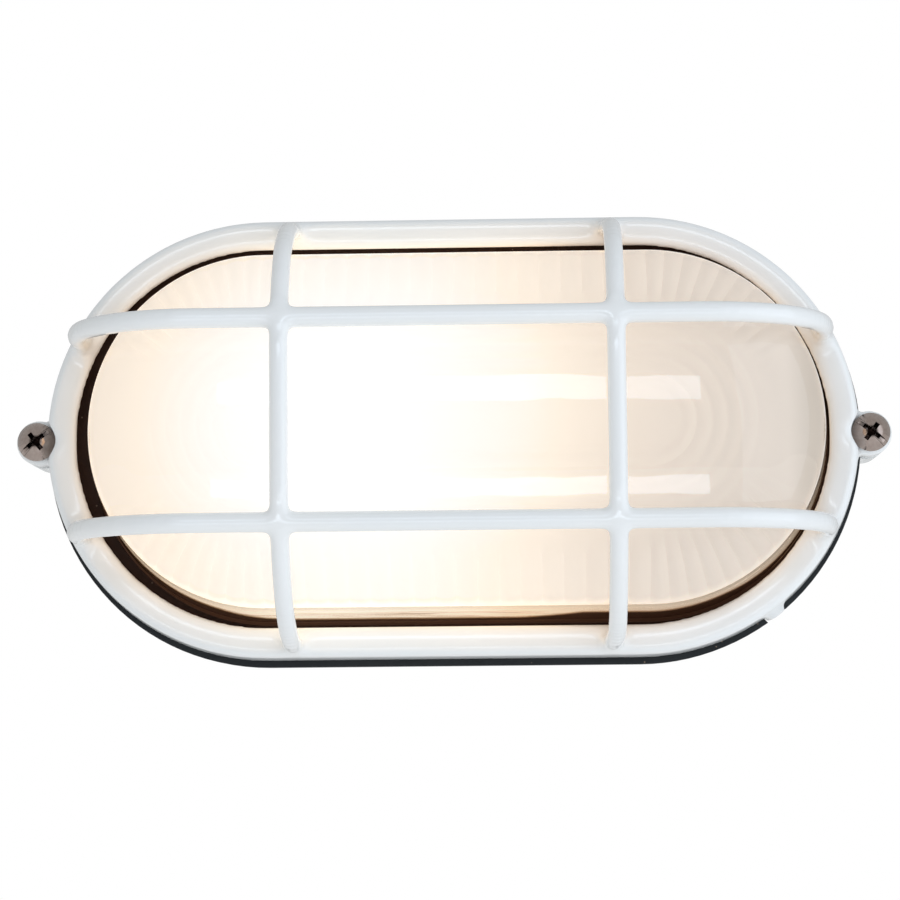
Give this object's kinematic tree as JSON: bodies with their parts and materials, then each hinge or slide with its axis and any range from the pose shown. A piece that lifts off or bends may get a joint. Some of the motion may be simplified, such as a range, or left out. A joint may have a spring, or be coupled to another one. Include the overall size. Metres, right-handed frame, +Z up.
{
  "type": "bulkhead light",
  "caption": "Oval caged bulkhead wall light: white cast base and barred guard, fluted glass diffuser in a black rubber seal, screw lamp lit inside.",
  "frame": {"origin": "centre of the flat back face, midway between the two wall fixing holes", "axes": "+X along the light to the right, +Y into the wall, +Z up, the front faces -Y"},
  "size_m": [0.2744, 0.1027, 0.1404],
  "materials": {
    "white_casting": "gloss white powder coat on die-cast aluminium",
    "diffuser_glass": "pressed, fluted inside and frosted",
    "black_rubber": "moulded, matt",
    "stainless": "cold headed, plain",
    "lamp_glass": "frosted, lit",
    "porcelain": "glazed",
    "brass": "stamped and turned",
    "zinc_steel": "zinc plated",
    "block_plastic": "moulded",
    "brown_insulation": "extruded",
    "blue_insulation": "extruded",
    "green_insulation": "extruded"
  },
  "bodies": {
    "root": {"base": "white_casting", "guard": "white_casting", "glass": "diffuser_glass", "gasket": "black_rubber", "screw_washers": "black_rubber", "cable_grommet": "black_rubber", "cover_screws": "stainless", "lamp": "lamp_glass", "lampholder_body": "porcelain", "lampholder_shell": "brass", "lampholder_contact": "brass", "contact_rivet": "brass", "terminal_plates": "brass", "holder_terminal_screws": "brass", "terminal_sleeves": "brass", "earth_screw": "brass", "holder_bracket": "zinc_steel", "holder_screws": "zinc_steel", "bracket_screws": "zinc_steel", "terminal_screws": "zinc_steel", "block_screws": "zinc_steel", "earth_tag": "zinc_steel", "earth_washer": "zinc_steel", "terminal_block": "block_plastic", "live_lead": "brown_insulation", "neutral_lead": "blue_insulation", "earth_lead": "green_insulation"}
  },
  "joints": []
}
